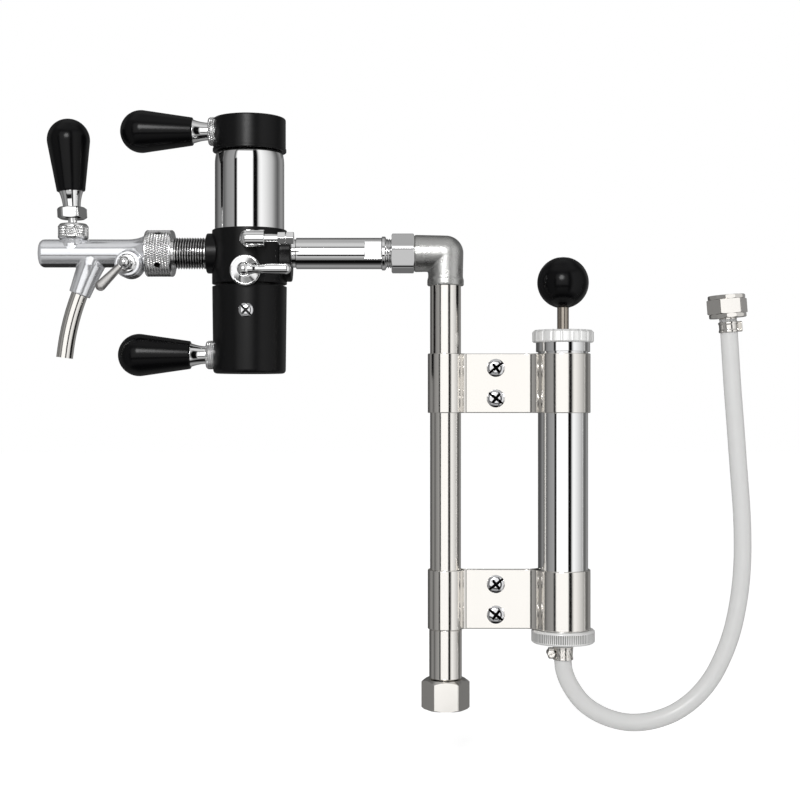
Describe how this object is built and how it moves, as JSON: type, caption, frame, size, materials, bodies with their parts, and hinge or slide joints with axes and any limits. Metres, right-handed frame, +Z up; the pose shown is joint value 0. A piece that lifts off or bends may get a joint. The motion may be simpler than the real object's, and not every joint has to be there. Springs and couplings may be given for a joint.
{
  "type": "keg party pump",
  "caption": "Keg riser with a clamped hand air pump, a side tap with a curved spout, and a bottle filler with a selector, a vent and a hose.",
  "frame": {"origin": "centre of the keg nut's lower face, on the riser's axis", "axes": "+Z up the riser, +X toward the hand pump, -Y toward the person who draws the drink"},
  "size_m": [0.4903, 0.0683, 0.4279],
  "materials": {
    "stainless": "polished stainless steel",
    "polished": "bright chrome plate",
    "black_plastic": "satin black acetal",
    "black_gloss": "gloss black phenolic",
    "inner_plastic": "plain black nylon",
    "seal_rubber": "food grade rubber",
    "hose_plastic": "milky translucent food hose"
  },
  "bodies": {
    "stand": {"keg_gasket": "seal_rubber", "keg_tailpiece": "stainless", "riser_pipe": "stainless", "elbow": "stainless", "hex_union": "polished", "inlet_tube": "polished", "valve_block": "black_plastic", "head_tube": "polished", "bottle_gasket": "seal_rubber", "fill_nozzle": "stainless", "vent_flange": "polished", "gas_elbow": "polished", "tap_shank": "polished", "coupling_nut": "polished", "tap_body": "polished", "tap_spout": "stainless", "tap_bonnet": "polished", "flow_bush": "polished", "pump_barrel": "polished", "pump_cap": "polished", "rod_bush": "inner_plastic", "pump_base": "polished", "check_valve": "seal_rubber", "pump_barb": "stainless", "hose_clamp": "stainless", "hose": "hose_plastic", "far_clamp": "stainless", "hose_tail": "stainless", "upper_clamp_front": "stainless", "upper_clamp_rear": "stainless", "lower_clamp_front": "stainless", "lower_clamp_rear": "stainless", "clamp_screws": "polished", "clamp_nuts": "polished"},
    "keg_nut_body": {"keg_nut": "polished"},
    "plunger": {"pump_rod": "stainless", "pump_knob": "black_gloss", "piston": "inner_plastic", "piston_cup": "seal_rubber", "piston_nut": "polished"},
    "tap_handle": {"tap_lever": "polished", "tap_locknut": "polished", "tap_ferrule": "polished", "tap_grip": "black_gloss"},
    "tap_valve": {"tap_plunger": "inner_plastic"},
    "flow_handle": {"flow_lever": "polished"},
    "flow_valve": {"flow_cone": "inner_plastic"},
    "selector": {"selector_cap": "black_plastic", "selector_stem": "polished", "selector_locknut": "polished", "selector_ferrule": "polished", "selector_grip": "black_gloss"},
    "sleeve": {"bottle_sleeve": "black_plastic", "sleeve_locknut": "polished", "sleeve_ferrule": "polished", "sleeve_grip": "black_gloss", "sleeve_screw": "polished"},
    "vent": {"vent_lever": "polished"},
    "hose_nut_body": {"hose_nut": "polished"}
  },
  "joints": [
    {"name": "keg_nut_spin", "type": "hinge", "parent": "stand", "child": "keg_nut_body", "pos_m": [0, 0, 0.01], "axis": [0, 0, 1], "continuous": true},
    {"name": "pump_stroke", "type": "slide", "parent": "stand", "child": "plunger", "axis": [0, 0, 1], "range_m": [-0.013, 0.15]},
    {"name": "tap_handle_tilt", "type": "hinge", "parent": "stand", "child": "tap_handle", "pos_m": [-0.2567, 0, 0.3258], "axis": [0, -1, 0], "range_deg": [-1.5, 14]},
    {"name": "tap_valve_slide", "type": "slide", "parent": "stand", "child": "tap_valve", "axis": [1, 0, 0], "range_m": [-0.0005, 0.0035]},
    {"name": "flow_turn", "type": "hinge", "parent": "stand", "child": "flow_handle", "pos_m": [-0.2165, 0, 0.305], "axis": [0, 1, 0], "range_deg": [-45, 60]},
    {"name": "flow_valve_slide", "type": "slide", "parent": "stand", "child": "flow_valve", "axis": [1, 0, 0], "range_m": [-0.0028, 0.0036]},
    {"name": "selector_turn", "type": "hinge", "parent": "stand", "child": "selector", "pos_m": [-0.1351, 0, 0.3975], "axis": [0, 0, 1], "range_deg": [-90, 90]},
    {"name": "sleeve_turn", "type": "hinge", "parent": "stand", "child": "sleeve", "pos_m": [-0.1351, 0, 0.2434], "axis": [0, 0, 1], "range_deg": [0, 90]},
    {"name": "vent_turn", "type": "hinge", "parent": "stand", "child": "vent", "pos_m": [-0.1351, 0, 0.2995], "axis": [0, 1, 0], "range_deg": [0, 90]},
    {"name": "hose_nut_spin", "type": "hinge", "parent": "stand", "child": "hose_nut_body", "pos_m": [0.1942, 0, 0.27598], "axis": [-0.0748, 0, 0.9972], "continuous": true}
  ],
  "couplings": [
    {"joint": "tap_valve_slide", "follows": "tap_handle_tilt", "m_per_rad": 0.0124},
    {"joint": "flow_valve_slide", "follows": "flow_turn", "m_per_rad": 0.0031}
  ]
}
